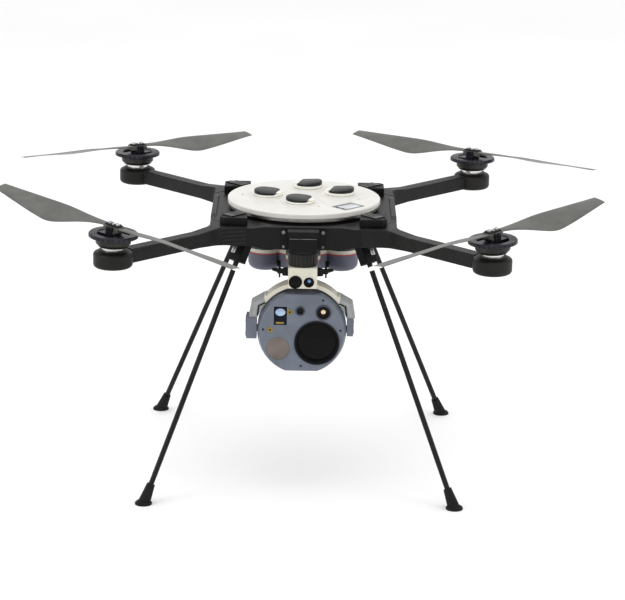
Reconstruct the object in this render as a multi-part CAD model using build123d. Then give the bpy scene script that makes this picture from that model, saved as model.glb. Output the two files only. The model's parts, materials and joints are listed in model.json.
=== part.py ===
from build123d import *
import math
import os

# Quadcopter drone, in millimetres. The origin is on the ground under the middle of the body,
# +Z is up, and the camera looks towards -Y. Each sub-part is written to parts/NODE.step.

# ---- overall sizes ----
MOTOR_SPACING = 577.0  # between neighbouring motor axes, which stand on a square
PROP_RADIUS = 277.0  # 22 inch propellers
BODY_BOTTOM = 397.0  # ground to the underside of the body
BODY_HEIGHT = 29.0
BODY_HALF = 148.0  # half the width of the square body
CORNER_CUT = 59.0  # what each corner of the square loses to the arm seam
LEG_ANGLE = 28.65  # lean of a leg from the vertical
LEG_INSET = 38.0  # arm seam to where a leg's line meets the underside of the body
LEG_TOP_DROP = 14.4  # upper end of the tube, under the body

# ---- body shell ----
WALL = 3.0
PANEL_HALF = 61.0  # half length of the raised panel on each side, at its full height
PANEL_RAMP = 19.0  # each end slopes down to the body over this length
PANEL_PROUD = 0.3
PANEL_DEPTH = 8.8
PANEL_BELOW = 4.7  # how far a panel hangs under the body
PANEL_ABOVE = 2.5
COLLAR_INSET = 7.4  # dark neck between the body and the deck, in from the deck's rim
COLLAR_HEIGHT = 4.0
EDGE_ROUND = 2.0

# ---- top deck ----
BAND_HEIGHT = 4.0
BAND_INSET = 2.4
DECK_RADIUS = 123.4
DECK_HEIGHT = 9.7
DECK_PLATE = 5.0
KNOB_SPOTS = {"left": (-58.0, 8.0), "right": (58.0, 22.0), "front": (-6.0, -39.0), "back": (6.0, 69.0)}
PAD_RADIUS = 31.0
PAD_HEIGHT = 0.6
DISPLAY_SPOT = (71.0, -63.0)
DISPLAY_LENGTH = 45.0
DISPLAY_WIDTH = 34.0
DISPLAY_DEPTH = 2.0
DISPLAY_THICKNESS = 1.2

# ---- twist-lock knobs ----
KNOB_RADIUS = 24.0
KNOB_BASE = 2.6
GRIP_HEIGHT = 5.0
GRIP_WIDTH = 29.0
HUMP_RADIUS = 8.0
HUMP_HEIGHT = 2.5
STEM_RADIUS = 8.0
STEM_LENGTH = 12.0

# ---- battery bay, hanging under the body ----
LOBE_SPOTS = [(-62.0, 25.0), (0.0, 74.0), (62.0, 25.0), (0.0, -24.0)]
LOBE_RADIUS = 28.0
BAY_WALL = 2.0
BAY_DEPTH = 49.5
GASKET_HEIGHT = 1.7
GASKET_PROUD = 0.8
CUP_HEIGHT = 28.3
CUP_FLOOR = 6.0
CUP_EDGE = 12.0
CELL_GAP = 0.8  # between a cell pack and the bay's wall
CELL_LENGTH = 91.0

# ---- folding arms ----
SEAM_GAP = 0.4
ARM_HALF = 11.3  # half the width of the beam
ARM_RISE = 2.5  # underside of the beam above the underside of the body
ARM_DROP = 4.0  # top of the beam under the top of the body
ARM_EDGE = 4.5
ROOT_RISE = 0.2
BEND_ROUND = 22.0
ROOT_LENGTH = 28.4  # full-depth part of the root, from the seam
TAPER_LENGTH = 42.0  # then it thins down to the beam
KNUCKLE_RADIUS = 3.5
KNUCKLE_HALF = 8.0
PIN_RADIUS = 1.5
BORE_GAP = 0.05  # radial clearance of every shaft in its bore
FACE_GAP = 0.4  # clearance beside a turning piece

# ---- motors ----
POD_RADIUS = 30.25
POD_EDGE = 6.0
POD_SHOULDER = 5.0  # rounding of the pod's upper edge
POD_SINK = 4.0  # the pod's rim under the top of the body
SHOULDER_RADIUS = 24.0
SEAT_SINK = 1.5  # the motor's foot under the top of the body
SPIGOT_RADIUS = 14.0
SPIGOT_DEPTH = 16.0
NECK_RADIUS = 17.5
NECK_SINK = 1.2
NECK_TOP = 5.5
CORE_RADIUS = 19.0
SHAFT_RADIUS = 4.0
BELL_BOTTOM = 6.0
BELL_TOP = 19.0
BELL_RADIUS = 27.0
BELL_LIP = 20.5
BELL_WALL = 2.5
VENT_COUNT = 6
VENT_RADIUS = 3.5
FRONT_CANT = 3.0  # the front motors lean about their arms, in degrees

# ---- quick-release ring and teetering hub ----
RING_RADIUS = 38.0
RING_BORE = 25.0
RING_HEIGHT = 7.5
RING_NOTCHES = 30
NOTCH_RADIUS = 1.1
HUB_RADIUS = 12.0
BAR_WIDTH = 20.0
EAR_THICKNESS = 3.4
EAR_LENGTH = 12.0
TEETER_HEIGHT = 34.0  # teeter pin above the motor seat
TEETER_PIN = 2.5
BLOCK_HALF = 8.3
BLOCK_LENGTH = 30.0
BLOCK_BOTTOM = 30.0
BLOCK_TOP = 38.0
BLADE_HEIGHT = 36.0

# A blade is narrow at the hub, widest before the middle, and tapers evenly to its tip.
BLADE_SECTIONS = 20
BLADE_START = 0.042  # share of the radius, inside the hub block
WIDEST_AT = 0.38
TAPER_POWER = 1.2  # 1 tapers straight to the tip, more keeps the blade wide for longer
ROOT_CHORD = 13.0
WIDEST_CHORD = 50.0
TIP_CHORD = 13.0
ROOT_TWIST = 4.0
WIDEST_TWIST = 19.0
TIP_TWIST = 7.0
ROOT_THICKNESS = 3.4
TIP_THICKNESS = 1.3
LEADING_EDGE = 8.0  # the straight front edge, ahead of the radius
CONE_ANGLE = 0.5

# ---- legs ----
LEG_RADIUS = 4.25
SOCKET_WIDTH = 26.0
SOCKET_DEPTH = 17.0
SOCKET_LENGTH = 25.0
STOP_GAP = 0.2
GUSSET_WIDTH = 10.0
GUSSET_REACH = 34.0
BOOT_HEIGHT = 34.0
BOOT_TOP_RADIUS = 6.4
BOOT_LOW_RADIUS = 9.5
PAD_FOOT_RADIUS = 13.5
PAD_FOOT_HEIGHT = 4.5
LEG_START = 10.0

# ---- corner caps and their latch levers ----
CAP_INSET = 16.0  # in from the body's sides
CAP_SIDE = 43.0
CAP_HEIGHT = 12.5
CAP_LIFT = 1.0  # over the arm root
CAP_GAP = 1.8  # between the cap and the deck rim
CAP_CHAMFER = 7.0
LEVER_HALF = 10.0
LEVER_LENGTH = 31.0  # inwards from its pin
LEVER_OFFSET = 0.4  # the pin, out from the seam
LEVER_PIVOT_RISE = 9.0  # over the top of the body
LEVER_ROUND = 3.1
LEVER_TOP_RISE = 14.2
LEVER_PIN = 2.0
LEVER_PIN_HALF = 13.5
SLOT_INNER_GAP = 13.0
SLOT_OUTER_GAP = 6.8
LEVER_RIBS = 6
RIB_PITCH = 3.4
RIB_CUT = 1.3

# ---- payload mount and gimbal ----
GIMBAL_INSET = 6.0  # the pan axis, in from the front of the body
MOUNT_HALF = 24.5
MOUNT_REACH = 23.0
LIP_HEIGHT = 10.0
STRIP_HALF = 36.0
STRIP_DEPTH = 2.5
PAN_RADIUS = 24.0
PAN_HEIGHT = 24.3
PAN_GROOVES = 24
GROOVE_WIDTH = 2.2
GROOVE_DEPTH = 0.9
GIMBAL_SHAFT = 6.0
NECK_HALF = 23.0
NECK_DEPTH = 52.0
NECK_HEIGHT = 33.0
BALL_RADIUS = 70.4
BALL_TRIM = 7.9  # cut off the ball's top and bottom
BALL_SWELL = 1.8  # the ball is turned a little larger and then trimmed to a drum along Y
FACE_AHEAD = 27.5
FACE_EDGE = 1.2
SHELL = 4.0
ARCH_GAP = 2.8
ARCH_THICKNESS = 6.3
ARCH_DEPTH = 32.0
CHEEK_BOTTOM = 22.0
CHEEK_THICKNESS = 4.5
DRIVE_GAP = 1.0  # between the ball and a tilt drive
DRIVE_LEFT_WIDTH = 16.6
DRIVE_RIGHT_WIDTH = 9.6
DRIVE_DEPTH = 34.0
DRIVE_EDGE = 3.0
TRUNNION_DEPTH = 6.6  # how far a trunnion reaches into its drive

# Openings in the camera's face: across and up from its middle, then radius.
BIG_LENS = (24.0, -15.6, 34.0)
ZOOM_LENS = (33.5, 34.0, 10.1)
SMALL_LENS = (-3.0, 36.1, 5.3)
HEAT_WINDOW = (-37.3, -25.8, 18.6)
PRISM_WINDOW = (-34.1, 27.6, 20.6, 30.0)
BEZEL_WIDTH = 2.2
BEZEL_PROUD = 1.6
PILOT_LENSES = [(-11.8, 8.0), (9.8, 6.0)]
PILOT_RISE = 10.0  # over the lower end of the neck
PILOT_DEPTH = 4.0

# ---- worked out from the sizes above ----
BODY_TOP = BODY_BOTTOM + BODY_HEIGHT
MOTOR_REACH = MOTOR_SPACING / math.sqrt(2)
SEAM_REACH = (2 * BODY_HALF - CORNER_CUT) / math.sqrt(2)
ROOT_HALF = CORNER_CUT / math.sqrt(2)
FOOT_REACH = SEAM_REACH - LEG_INSET + BODY_BOTTOM * math.tan(math.radians(LEG_ANGLE))
LEG_LENGTH = (BODY_BOTTOM - LEG_TOP_DROP) / math.cos(math.radians(LEG_ANGLE))
COLLAR_RADIUS = DECK_RADIUS - COLLAR_INSET
BAND_RADIUS = DECK_RADIUS - BAND_INSET
CELL_RADIUS = LOBE_RADIUS - BAY_WALL - CELL_GAP
TAPER_START = SEAM_REACH + ROOT_LENGTH
TAPER_END = TAPER_START + TAPER_LENGTH
POD_TOP = BODY_TOP - POD_SINK
SEAT_HEIGHT = BODY_TOP - SEAT_SINK
CAP_CORNER = BODY_HALF - CAP_INSET
LEVER_PIVOT = SEAM_REACH + LEVER_OFFSET
LEVER_INNER = LEVER_PIVOT - LEVER_LENGTH
SLOT_START = LEVER_INNER - SLOT_INNER_GAP
SLOT_END = LEVER_PIVOT + SLOT_OUTER_GAP
PANEL_FRONT = BODY_HALF + PANEL_PROUD
PANEL_BOTTOM = BODY_BOTTOM - PANEL_BELOW
BAND_BOTTOM = BODY_TOP + COLLAR_HEIGHT
DECK_BOTTOM = BAND_BOTTOM + BAND_HEIGHT
DECK_TOP = DECK_BOTTOM + DECK_HEIGHT
BAY_BOTTOM = BODY_BOTTOM - BAY_DEPTH
GASKET_BOTTOM = BAY_BOTTOM - GASKET_HEIGHT
CUP_BOTTOM = GASKET_BOTTOM - CUP_HEIGHT
CELL_BOTTOM = CUP_BOTTOM + CUP_FLOOR
CAP_TOP = BODY_TOP + CAP_HEIGHT
LEVER_PIVOT_HEIGHT = BODY_TOP + LEVER_PIVOT_RISE
LEVER_TOP = BODY_TOP + LEVER_TOP_RISE
RING_BOTTOM = BELL_TOP
RING_TOP = RING_BOTTOM + RING_HEIGHT
PAN_BOTTOM = PANEL_BOTTOM - PAN_HEIGHT
GIMBAL_Y = GIMBAL_INSET - BODY_HALF
BALL_FLAT = BALL_RADIUS - BALL_TRIM
ARCH_INNER = BALL_RADIUS + ARCH_GAP
ARCH_OUTER = ARCH_INNER + ARCH_THICKNESS
CHEEK_OUTER = ARCH_OUTER + CHEEK_THICKNESS
DRIVE_INNER = BALL_RADIUS + DRIVE_GAP
DRIVE_LEFT = DRIVE_INNER + DRIVE_LEFT_WIDTH
DRIVE_RIGHT = DRIVE_INNER + DRIVE_RIGHT_WIDTH
TRUNNION_END = DRIVE_INNER + TRUNNION_DEPTH
NECK_BOTTOM = ARCH_INNER - EDGE_ROUND / 2
TILT_HEIGHT = PAN_BOTTOM - FACE_GAP - NECK_HEIGHT - NECK_BOTTOM
PILOT_HEIGHT = NECK_BOTTOM + PILOT_RISE
BIG = 1000.0

# Corner name: direction of its arm in degrees, lean of its motor about the arm, rest angle of
# its propeller, how far that end of the propeller is raised, and which way it spins from above.
CORNERS = {
    "fl": (225.0, -FRONT_CANT, 142.4, 3.5, "cw"),
    "fr": (315.0, FRONT_CANT, 222.3, -0.9, "ccw"),
    "bl": (135.0, 0.0, 219.0, 1.7, "ccw"),
    "br": (45.0, 0.0, 146.4, 0.5, "cw"),
}


def slab(outline, low, high):
    """A flat outline carried straight up from one height to another."""
    return Pos(0, 0, low) * extrude(outline, amount=high - low)


def disc(radius, low, high, x=0.0, y=0.0):
    """An upright cylinder between two heights."""
    return Pos(x, y, (low + high) / 2) * Cylinder(radius, high - low)


def block(x_span, y_span, z_span):
    """A box between two values on each axis."""
    spans = (x_span, y_span, z_span)
    middle = [(low + high) / 2 for low, high in spans]
    return Pos(*middle) * Box(*[high - low for low, high in spans])


def cross_bar(radius, y_low, y_high, x, z):
    """A cylinder along Y."""
    return Pos(x, (y_low + y_high) / 2, z) * Rot(90, 0, 0) * Cylinder(radius, y_high - y_low)


def side_bar(radius, x_low, x_high, y, z):
    """A cylinder along X."""
    return Pos((x_low + x_high) / 2, y, z) * Rot(0, 90, 0) * Cylinder(radius, x_high - x_low)


def side_prism(points, y_low, y_high):
    """An outline drawn in X and Z, carried along Y."""
    face = make_face(Polyline(*[(x, y_low, z) for x, z in points], close=True))
    return extrude(face, amount=y_high - y_low, dir=(0, 1, 0))


def turned(points):
    """A solid of revolution about Z from an outline of radius and height."""
    face = make_face(Polyline(*[(r, 0, z) for r, z in points], close=True))
    return revolve(face, Axis.Z)


def at_corner(azimuth, shape):
    """A piece drawn with its arm along +X, turned to its own corner."""
    return Rot(0, 0, azimuth) * shape


def motor_frame(cant):
    """Where a motor stands: at the end of the arm, leaning about the arm by its cant."""
    return Pos(MOTOR_REACH, 0, SEAT_HEIGHT) * Rot(cant, 0, 0)


def write(node, shape):
    """One STEP file per sub-part."""
    export_step(shape, f"parts/{node}.step")


# ------------------------------------------------------------------ body


def octagon(inset=0.0):
    """The body's plan: a square whose corners are cut square to the diagonals."""
    half = BODY_HALF - inset
    cut = CORNER_CUT - (2 - math.sqrt(2)) * inset
    square = Rectangle(2 * half, 2 * half)
    return chamfer(square.vertices(), cut)


def lobe_block(inset=0.0):
    """The block between the middles of the four battery lobes."""
    block_face = make_face(Polyline(*LOBE_SPOTS, close=True))
    return offset(block_face, -inset, kind=Kind.INTERSECTION) if inset else block_face


def lobes(radius):
    """Four round battery bays joined by a block, drawn to a radius up to that of the bay."""
    return lobe_block(LOBE_RADIUS - radius) + [Pos(x, y) * Circle(radius) for x, y in LOBE_SPOTS]


def side_panel():
    """The raised panel on the front side, whose ends slope down to the body."""
    top, end = BODY_TOP + PANEL_ABOVE, PANEL_HALF + PANEL_RAMP
    right = [(PANEL_HALF, top), (end, BODY_TOP), (end, BODY_BOTTOM), (PANEL_HALF, PANEL_BOTTOM)]
    outline = right + [(-x, z) for x, z in reversed(right)]
    panel = side_prism(outline, -PANEL_FRONT, PANEL_DEPTH - PANEL_FRONT)
    return chamfer(panel.edges().filter_by(Axis.X).sort_by(Axis.Z)[-2:], EDGE_ROUND / 2)


def hinge_relief(y_spans):
    """The notch that a hinge knuckle turns in, along the lower edge of the seam."""
    notch = None
    for low, high in y_spans:
        bar = cross_bar(KNUCKLE_RADIUS + FACE_GAP, low, high, SEAM_REACH, BODY_BOTTOM)
        notch = bar if notch is None else notch + bar
    return notch


def body_frame():
    """The carbon chassis: a shallow closed tub with a round collar on top and panels on its sides."""
    outer = slab(octagon(), BODY_BOTTOM, BODY_TOP)
    outer = fillet(outer.faces().sort_by(Axis.Z)[-1].edges(), EDGE_ROUND)
    shell = outer - slab(octagon(WALL), BODY_BOTTOM + WALL, BODY_TOP - WALL)
    shell += disc(COLLAR_RADIUS, BODY_TOP - WALL, BAND_BOTTOM)
    shell -= disc(COLLAR_RADIUS - WALL, BODY_TOP - 2 * WALL, BAND_BOTTOM + WALL)
    shell -= slab(lobes(LOBE_RADIUS - BAY_WALL), BODY_BOTTOM - WALL, BODY_BOTTOM + 2 * WALL)
    panel = side_panel()
    for quarter in range(4):
        shell += Rot(0, 0, 90 * quarter) * panel
    knuckle = cross_bar(KNUCKLE_RADIUS, -KNUCKLE_HALF, KNUCKLE_HALF, SEAM_REACH, BODY_BOTTOM)
    knuckle -= cross_bar(PIN_RADIUS + BORE_GAP, -KNUCKLE_HALF, KNUCKLE_HALF, SEAM_REACH, BODY_BOTTOM)
    reach = 2 * KNUCKLE_HALF + 2 * FACE_GAP
    relief = hinge_relief([(-reach, -KNUCKLE_HALF), (KNUCKLE_HALF, reach)])
    for azimuth, *_ in CORNERS.values():
        shell = shell - at_corner(azimuth, relief)
        shell = shell + at_corner(azimuth, knuckle)
        pin_path = cross_bar(PIN_RADIUS + BORE_GAP, -KNUCKLE_HALF, KNUCKLE_HALF, SEAM_REACH, BODY_BOTTOM)
        shell = shell - at_corner(azimuth, pin_path)
    return shell


def deck_band():
    """The bright band under the deck's rim."""
    return disc(BAND_RADIUS, BAND_BOTTOM, DECK_BOTTOM) - disc(
        COLLAR_RADIUS - WALL, BAND_BOTTOM, DECK_BOTTOM
    )


def top_deck():
    """The round white lid with four raised pads, their stem holes and the display pocket."""
    lid = disc(DECK_RADIUS, DECK_BOTTOM, DECK_TOP)
    lid = fillet(lid.edges().sort_by(Axis.Z)[-1:], EDGE_ROUND)
    lid = chamfer(lid.edges().sort_by(Axis.Z)[:1], EDGE_ROUND)
    for x, y in KNOB_SPOTS.values():
        lid += disc(PAD_RADIUS, DECK_TOP - DECK_PLATE / 2, DECK_TOP + PAD_HEIGHT, x, y)
    lid -= disc(COLLAR_RADIUS - WALL, DECK_BOTTOM, DECK_TOP - DECK_PLATE)
    for x, y in KNOB_SPOTS.values():
        lid -= disc(STEM_RADIUS + BORE_GAP, DECK_BOTTOM, DECK_TOP + 2 * PAD_HEIGHT, x, y)
    return lid - display_place() * block(
        (-DISPLAY_LENGTH / 2, DISPLAY_LENGTH / 2),
        (-DISPLAY_WIDTH / 2, DISPLAY_WIDTH / 2),
        (-DISPLAY_DEPTH, DISPLAY_DEPTH),
    )


def display_place():
    """Middle of the display pocket, level with the deck, square to the front right diagonal."""
    return Pos(*DISPLAY_SPOT, DECK_TOP) * Rot(0, 0, 45)


def display_window():
    """The pane at the bottom of its pocket."""
    side_gap = FACE_GAP / 2
    return display_place() * block(
        (side_gap - DISPLAY_LENGTH / 2, DISPLAY_LENGTH / 2 - side_gap),
        (side_gap - DISPLAY_WIDTH / 2, DISPLAY_WIDTH / 2 - side_gap),
        (-DISPLAY_DEPTH, DISPLAY_THICKNESS - DISPLAY_DEPTH),
    )


def knob():
    """A twist-lock knob at the origin: round foot, D-shaped grip with a thumb hump, and a stem."""
    base_low = PAD_HEIGHT + BORE_GAP * 6
    base = disc(KNOB_RADIUS, base_low, base_low + KNOB_BASE)
    grip = disc(KNOB_RADIUS, base_low + KNOB_BASE, base_low + KNOB_BASE + GRIP_HEIGHT)
    grip = grip & block(
        (-KNOB_RADIUS, KNOB_RADIUS - HUMP_RADIUS), (-GRIP_WIDTH / 2, GRIP_WIDTH / 2), (0, BIG)
    )
    hump = disc(HUMP_RADIUS, base_low + KNOB_BASE, base_low + KNOB_BASE + GRIP_HEIGHT + HUMP_HEIGHT)
    hump = Pos(HUMP_RADIUS - KNOB_RADIUS + EDGE_ROUND, 0, 0) * hump
    top = grip + hump
    top = chamfer(top.edges().group_by(Axis.Z)[-1], HUMP_HEIGHT / 2)
    return base + top + disc(STEM_RADIUS, -STEM_LENGTH, base_low + KNOB_BASE / 2)


def circuit_board():
    """The flight computer board inside the tub, hung from the deck on four posts."""
    board_top = BODY_TOP - WALL - FACE_GAP
    board = disc(COLLAR_RADIUS - 4 * WALL, board_top - 2, board_top)
    spot = (COLLAR_RADIUS - 7 * WALL) / math.sqrt(2)
    for x in (-spot, spot):
        for y in (-spot, spot):
            board += disc(WALL, board_top, DECK_TOP - DECK_PLATE, x, y)
    for x, y, wide, deep in ((-30, 20, 44, 30), (30, 20, 30, 30), (0, -30, 60, 20), (0, 50, 36, 16)):
        chip = block((x - wide / 2, x + wide / 2), (y - deep / 2, y + deep / 2), (0, WALL))
        board += Pos(0, 0, board_top) * chip
    return board


def battery_bay():
    """The cream skirt that the four batteries slide up into."""
    outline = lobes(LOBE_RADIUS) - lobes(LOBE_RADIUS - BAY_WALL)
    return slab(outline, BAY_BOTTOM, BODY_BOTTOM)


def gasket():
    """The thin red seal along the lower edge of the bay."""
    outline = lobes(LOBE_RADIUS + GASKET_PROUD) - lobes(LOBE_RADIUS - BAY_WALL)
    return slab(outline, GASKET_BOTTOM, BAY_BOTTOM)


def battery_cup():
    """The grey lower shell of the battery pack: four round-bottomed lobes in one block."""
    top = GASKET_BOTTOM - FACE_GAP / 2
    cup = slab(lobe_block(), CUP_BOTTOM + CUP_EDGE / 2, top)
    for x, y in LOBE_SPOTS:
        lobe = disc(LOBE_RADIUS, CUP_BOTTOM, top, x, y)
        cup += fillet(lobe.edges().sort_by(Axis.Z)[:1], CUP_EDGE)
    for x, y in LOBE_SPOTS:
        cup -= disc(CELL_RADIUS, CELL_BOTTOM, top, x, y)
    return cup


def batteries():
    """Four round cell packs standing in the cup."""
    packs = [disc(CELL_RADIUS, CELL_BOTTOM, CELL_BOTTOM + CELL_LENGTH, x, y) for x, y in LOBE_SPOTS]
    return Compound(children=[chamfer(p.edges().sort_by(Axis.Z)[-1:], EDGE_ROUND) for p in packs])


# ------------------------------------------------------------------ corners


def arm():
    """A folding arm along +X: a wedge-shaped root that completes the body's corner, then a beam."""
    start = SEAM_REACH + SEAM_GAP
    bend = SEAM_REACH + ROOT_HALF - ARM_HALF
    half = ROOT_HALF - SEAM_GAP
    outline = [(start, half), (bend, ARM_HALF), (MOTOR_REACH, ARM_HALF)]
    outline += [(x, -y) for x, y in reversed(outline)]
    plan = make_face(Polyline(*outline, close=True))
    bends = plan.vertices().filter_by(lambda v: abs(v.X - bend) < 1)
    plan = fillet(bends, BEND_ROUND)
    root_low = BODY_BOTTOM + ROOT_RISE
    beam_low = BODY_BOTTOM + ARM_RISE
    beam_top = BODY_TOP - ARM_DROP
    profile = [
        (start, root_low),
        (TAPER_START, root_low),
        (TAPER_END, beam_low),
        (MOTOR_REACH, beam_low),
        (MOTOR_REACH, beam_top),
        (TAPER_END, beam_top),
        (TAPER_START, BODY_TOP),
        (start, BODY_TOP),
    ]
    solid = slab(plan, BODY_BOTTOM, BODY_TOP + WALL) & side_prism(profile, -BODY_HALF, BODY_HALF)
    long_edges = [e for e in solid.edges() if long_arm_edge(e, start)]
    solid = fillet(long_edges, EDGE_ROUND)
    solid -= disc(POD_RADIUS, 0, BIG, MOTOR_REACH)
    reach = 2 * KNUCKLE_HALF
    solid -= hinge_relief([(-KNUCKLE_HALF - FACE_GAP, KNUCKLE_HALF + FACE_GAP)])
    for side in (-1, 1):
        low, high = sorted((side * (KNUCKLE_HALF + FACE_GAP), side * reach))
        solid += cross_bar(KNUCKLE_RADIUS, low, high, SEAM_REACH, BODY_BOTTOM)
    return solid + cross_bar(PIN_RADIUS, -reach, reach, SEAM_REACH, BODY_BOTTOM)


def long_arm_edge(edge, start):
    """True for the edges that run along the top and bottom of the arm's two sides."""
    middle = edge.center()
    along = edge.position_at(0).X - edge.position_at(1).X
    return abs(along) > 1 and abs(middle.Y) > ARM_HALF - 1 and middle.X > start + 1


def motor_pod(cant):
    """The round cup that ends the arm."""
    cup = disc(POD_RADIUS, BODY_BOTTOM, POD_TOP, MOTOR_REACH)
    cup = fillet(cup.edges().sort_by(Axis.Z)[:1], POD_EDGE)
    cup = fillet(cup.edges().sort_by(Axis.Z)[-1:], POD_SHOULDER)
    shoulder = disc(SHOULDER_RADIUS, POD_TOP - EDGE_ROUND, SEAT_HEIGHT, MOTOR_REACH)
    cup += chamfer(shoulder.edges().sort_by(Axis.Z)[-1:], EDGE_ROUND)
    place = motor_frame(cant)
    cup -= place * disc(SPIGOT_RADIUS, -SPIGOT_DEPTH, NECK_TOP)
    return cup - place * disc(NECK_RADIUS, -NECK_SINK, NECK_TOP)


def stator():
    """The still half of the motor: spigot, bright neck and wound core, bored for the shaft."""
    core = disc(SPIGOT_RADIUS, -SPIGOT_DEPTH, -NECK_SINK) + disc(NECK_RADIUS, -NECK_SINK, NECK_TOP)
    core += disc(SHAFT_RADIUS + BELL_WALL, NECK_TOP, BELL_BOTTOM + BELL_WALL)
    core += disc(CORE_RADIUS, BELL_BOTTOM + BELL_WALL, BELL_TOP - 2 * BELL_WALL)
    return core - disc(SHAFT_RADIUS + BORE_GAP, 1 - SPIGOT_DEPTH, BELL_TOP)


def rotor_bell():
    """The turning half of the motor: a bell with a tapered skirt, a vented top and its shaft."""
    inner = BELL_RADIUS - BELL_WALL
    roof = BELL_TOP - BELL_WALL
    bell = turned([
        (BELL_LIP, BELL_BOTTOM),
        (BELL_LIP + BELL_WALL, BELL_BOTTOM),
        (BELL_RADIUS, BELL_BOTTOM + 2 * BELL_WALL),
        (BELL_RADIUS, BELL_TOP),
        (0, BELL_TOP),
        (0, BELL_WALL - SPIGOT_DEPTH),
        (SHAFT_RADIUS, BELL_WALL - SPIGOT_DEPTH),
        (SHAFT_RADIUS, roof),
        (inner, roof),
        (inner, BELL_BOTTOM + 2 * BELL_WALL),
        (BELL_LIP, BELL_BOTTOM + BELL_WALL),
    ])
    for i in range(VENT_COUNT):
        angle = math.radians(360 / VENT_COUNT * (i + 0.5))
        spot = (inner - 2 * BELL_WALL - VENT_RADIUS / 2) * math.cos(angle), (
            inner - 2 * BELL_WALL - VENT_RADIUS / 2
        ) * math.sin(angle)
        bell -= disc(VENT_RADIUS, roof - 1, BELL_TOP + 1, *spot)
    return bell


def prop_ring():
    """The notched quick-release ring, its bar under the blades, and the ears of the teeter pin."""
    slope = EDGE_ROUND * 0.75
    ring = turned([
        (RING_BORE, RING_BOTTOM),
        (RING_RADIUS - 3 * EDGE_ROUND, RING_BOTTOM),
        (RING_RADIUS, RING_BOTTOM + EDGE_ROUND),
        (RING_RADIUS, RING_TOP - slope),
        (RING_RADIUS - slope, RING_TOP),
        (RING_BORE + slope, RING_TOP),
        (RING_BORE, RING_TOP - slope),
    ])
    for i in range(RING_NOTCHES):
        angle = math.radians(360 / RING_NOTCHES * i)
        spot = RING_RADIUS * math.cos(angle), RING_RADIUS * math.sin(angle)
        ring -= disc(NOTCH_RADIUS, RING_BOTTOM, RING_TOP, *spot)
    half = BAR_WIDTH / 2
    ring += block((-RING_BORE - 1, RING_BORE + 1), (-half, half), (RING_BOTTOM, RING_TOP - slope))
    ring += disc(HUB_RADIUS, RING_BOTTOM, RING_TOP)
    ear_low = BLOCK_HALF + FACE_GAP
    ear_high = ear_low + EAR_THICKNESS
    for side in (-1, 1):
        low, high = sorted((side * ear_low, side * ear_high))
        ring += block((-EAR_LENGTH / 2, EAR_LENGTH / 2), (low, high), (RING_BOTTOM, TEETER_HEIGHT))
        ring += cross_bar(EAR_LENGTH / 2, low, high, 0, TEETER_HEIGHT) & block(
            (-BIG, BIG), (-BIG, BIG), (0, BLOCK_TOP)
        )
    return ring + cross_bar(TEETER_PIN, -ear_low, ear_low, 0, TEETER_HEIGHT)


def eased(start, end, part):
    """A value that leaves one size and reaches another without a kink, for a part from 0 to 1."""
    return start + (end - start) * part * part * (3 - 2 * part)


def blade_section(share):
    """Chord, twist and thickness at a share of the radius."""
    thickness = ROOT_THICKNESS + (TIP_THICKNESS - ROOT_THICKNESS) * share
    if share < WIDEST_AT:
        part = (share - BLADE_START) / (WIDEST_AT - BLADE_START)
        return eased(ROOT_CHORD, WIDEST_CHORD, part), eased(ROOT_TWIST, WIDEST_TWIST, part), thickness
    part = (share - WIDEST_AT) / (1 - WIDEST_AT)
    chord = WIDEST_CHORD + (TIP_CHORD - WIDEST_CHORD) * part**TAPER_POWER
    return chord, eased(WIDEST_TWIST, TIP_TWIST, part), thickness


def blade():
    """One blade along +X for a rotor that turns anticlockwise: its front edge is straight and raised."""
    sections = []
    for i in range(BLADE_SECTIONS):
        share = BLADE_START + (1 - BLADE_START) * i / (BLADE_SECTIONS - 1)
        chord, twist, thickness = blade_section(share)
        angle = math.radians(twist)
        quarter = LEADING_EDGE - chord / 4
        middle = (
            share * PROP_RADIUS,
            quarter - chord / 4 * math.cos(angle),
            BLADE_HEIGHT - chord / 4 * math.sin(angle),
        )
        chord_way = (0, math.cos(angle), math.sin(angle))
        plane = Plane(origin=middle, x_dir=chord_way, z_dir=(1, 0, 0))
        sections.append(plane * Ellipse(chord / 2, thickness / 2))
    lift = Pos(0, 0, BLADE_HEIGHT) * Rot(0, -CONE_ANGLE, 0) * Pos(0, 0, -BLADE_HEIGHT)
    return lift * loft(sections)


def propeller(spin):
    """Two blades on the hub block that rocks on the teeter pin."""
    hub = block((-BLOCK_LENGTH / 2, BLOCK_LENGTH / 2), (-BLOCK_HALF, BLOCK_HALF), (BLOCK_BOTTOM, BLOCK_TOP))
    hub = fillet(hub.edges().filter_by(Axis.Z), EDGE_ROUND)
    one = blade()
    solid = hub + one + Rot(0, 0, 180) * one
    solid -= cross_bar(TEETER_PIN + BORE_GAP, -BLOCK_HALF, BLOCK_HALF, 0, TEETER_HEIGHT)
    return mirror(solid, Plane.XZ) if spin == "cw" else solid


def teeter(rise):
    """Rocks the propeller about its pin, so that its +X end is raised."""
    return Pos(0, 0, TEETER_HEIGHT) * Rot(0, -rise, 0) * Pos(0, 0, -TEETER_HEIGHT)


def leg_frame():
    """A leg's own frame: on the ground under the foot, with +Z up along the tube."""
    return Pos(FOOT_REACH, 0, 0) * Rot(0, -LEG_ANGLE, 0)


def leg():
    """The carbon tube of a leg."""
    return leg_frame() * disc(LEG_RADIUS, LEG_START, LEG_LENGTH)


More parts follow.
